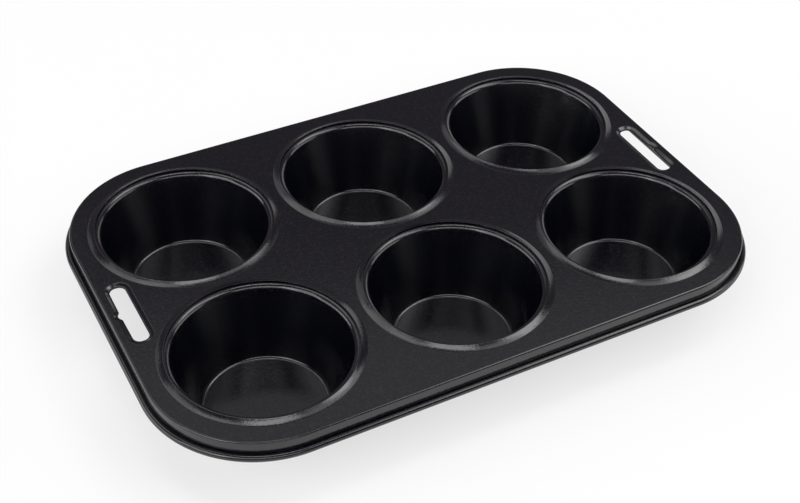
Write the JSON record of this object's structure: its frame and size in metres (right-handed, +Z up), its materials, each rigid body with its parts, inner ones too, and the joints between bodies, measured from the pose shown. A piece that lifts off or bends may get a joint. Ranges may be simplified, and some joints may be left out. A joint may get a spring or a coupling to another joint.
{
  "type": "muffin pan",
  "caption": "Muffin pan: a pressed steel plate with a rolled rim and hang slots, and rows of tapered round cups crimped into raised rings, with a dark non-stick coating.",
  "frame": {"origin": "on the surface that the cups stand on, under the middle of the plate", "axes": "+X along the pan's length, +Y across its width towards the back row, +Z up out of the cups"},
  "size_m": [0.2656, 0.1812, 0.032],
  "materials": {
    "coating": "satin black non-stick coating with a fine grain",
    "wire_steel": "drawn steel wire"
  },
  "bodies": {
    "root": {"top_plate": "coating", "rim_wire": "wire_steel", "cup_front_left": "coating", "cup_front_middle": "coating", "cup_front_right": "coating", "cup_back_left": "coating", "cup_back_middle": "coating", "cup_back_right": "coating"}
  },
  "joints": []
}
